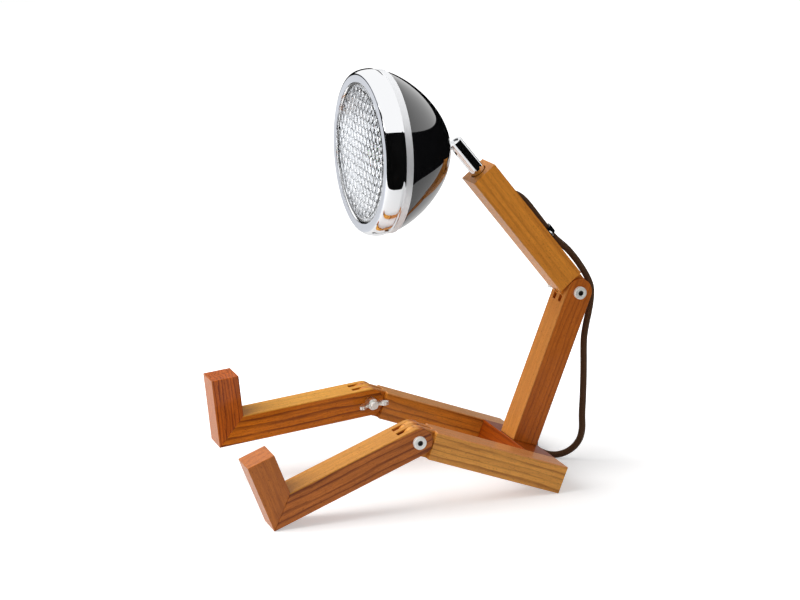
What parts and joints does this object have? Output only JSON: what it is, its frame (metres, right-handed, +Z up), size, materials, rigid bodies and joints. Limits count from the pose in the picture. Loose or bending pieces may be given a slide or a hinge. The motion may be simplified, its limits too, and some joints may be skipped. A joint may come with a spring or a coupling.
{
  "type": "desk lamp",
  "caption": "Jointed wooden desk lamp in the shape of a seated figure, with a chrome-rimmed black lamp head, slotted ball neck, textile cord, rocker switch and plug.",
  "frame": {"origin": "on the table, under the middle of the lamp without its cord", "axes": "+Z up; the lamp looks along -X; its left leg is on the -Y side, and the joint bolts lie along Y"},
  "size_m": [0.3515, 0.3, 0.3738],
  "materials": {
    "oiled_wood": "oiled hardwood, satin",
    "dowel_wood": "plain beech",
    "zinc_steel": "bright zinc plate",
    "brass": "turned brass",
    "chrome": "polished chrome plate",
    "black_lacquer": "glossy black lacquer on spun steel",
    "lens_glass": "pressed fluted glass",
    "gasket_rubber": "matt",
    "reflector_aluminium": "bright vapour coat",
    "ceramic": "white glaze",
    "bulb_opal": "opal",
    "lead_sleeve": "silicone sleeve",
    "black_plastic": "fine satin",
    "rocker_plastic": "gloss",
    "black_rubber": "matt",
    "plug_pin_metal": "nickel plate",
    "brown_textile": "braided textile"
  },
  "bodies": {
    "root": {"left_thigh": "oiled_wood", "right_thigh": "oiled_wood", "hip_block": "oiled_wood", "torso_bar": "oiled_wood", "hip_dowels": "dowel_wood", "torso_screws": "zinc_steel", "elbow_bolt": "zinc_steel", "cord_elbow": "brown_textile", "cord_hang": "brown_textile", "cord_run": "brown_textile", "cord_coil": "brown_textile", "cord_tail": "brown_textile", "coil_tie": "black_plastic", "switch_base": "black_plastic", "switch_cover": "black_plastic", "switch_screws": "zinc_steel", "plug_body": "black_plastic", "plug_relief": "black_rubber", "plug_pins": "plug_pin_metal"},
    "left_lower_leg": {"left_shin": "oiled_wood", "left_foot": "oiled_wood", "left_foot_dowels": "dowel_wood", "left_knee_bolt": "zinc_steel"},
    "right_lower_leg": {"right_shin": "oiled_wood", "right_foot": "oiled_wood", "right_foot_dowels": "dowel_wood", "right_knee_bolt": "zinc_steel"},
    "left_knee_nut": {"left_wing_nut": "zinc_steel"},
    "right_knee_nut": {"right_wing_nut": "zinc_steel"},
    "elbow_nut": {"elbow_wing_nut": "zinc_steel"},
    "arm": {"upper_arm": "oiled_wood", "neck_bush": "brass", "cord_clip": "black_plastic", "clip_screw": "zinc_steel", "cord_arm": "brown_textile"},
    "neck": {"neck_tube": "chrome", "neck_plug": "brass", "neck_spring": "zinc_steel", "ball_seat": "brass", "neck_leads": "lead_sleeve"},
    "head": {"ball_stud": "chrome", "stud_nut": "zinc_steel", "lamp_shell": "black_lacquer", "bezel_ring": "chrome", "lens": "lens_glass", "lens_gasket": "gasket_rubber", "reflector": "reflector_aluminium", "reflector_clips": "zinc_steel", "holder_bracket": "zinc_steel", "bulb_holder": "ceramic", "holder_screws": "zinc_steel", "bulb": "bulb_opal", "head_leads": "lead_sleeve"},
    "rocker": {"switch_rocker": "rocker_plastic"}
  },
  "joints": [
    {"name": "left_knee", "type": "hinge", "parent": "root", "child": "left_lower_leg", "pos_m": [-0.01895, -0.061, 0.0633], "axis": [0, -1, 0], "range_deg": [-131.5, 48.1]},
    {"name": "right_knee", "type": "hinge", "parent": "root", "child": "right_lower_leg", "pos_m": [-0.01895, 0.061, 0.0633], "axis": [0, -1, 0], "range_deg": [-116.2, 63.4]},
    {"name": "elbow", "type": "hinge", "parent": "root", "child": "arm", "pos_m": [0.1588, 0, 0.1645], "axis": [0, -1, 0], "range_deg": [-90, 30], "deforming": ["cord_elbow"]},
    {"name": "neck_swivel", "type": "hinge", "parent": "arm", "child": "neck", "pos_m": [0.04606, 0, 0.30225], "axis": [-0.6334, 0, 0.7738], "range_deg": [-165, 165]},
    {"name": "head_nod", "type": "hinge", "parent": "neck", "child": "head", "pos_m": [0.04606, 0, 0.30225], "axis": [0, -1, 0], "range_deg": [-50, 44]},
    {"name": "left_knee_nut_turn", "type": "hinge", "parent": "left_lower_leg", "child": "left_knee_nut", "pos_m": [-0.01895, -0.047, 0.0633], "axis": [0, 1, 0], "continuous": true},
    {"name": "right_knee_nut_turn", "type": "hinge", "parent": "right_lower_leg", "child": "right_knee_nut", "pos_m": [-0.01895, 0.047, 0.0633], "axis": [0, 1, 0], "continuous": true},
    {"name": "elbow_nut_turn", "type": "hinge", "parent": "root", "child": "elbow_nut", "pos_m": [0.1588, 0.014, 0.1645], "axis": [0, 1, 0], "continuous": true},
    {"name": "rocker_tilt", "type": "hinge", "parent": "root", "child": "rocker", "pos_m": [0.133, 0.063, 0.0124], "axis": [-0.9945, -0.1045, 0], "range_deg": [0, 12]}
  ]
}
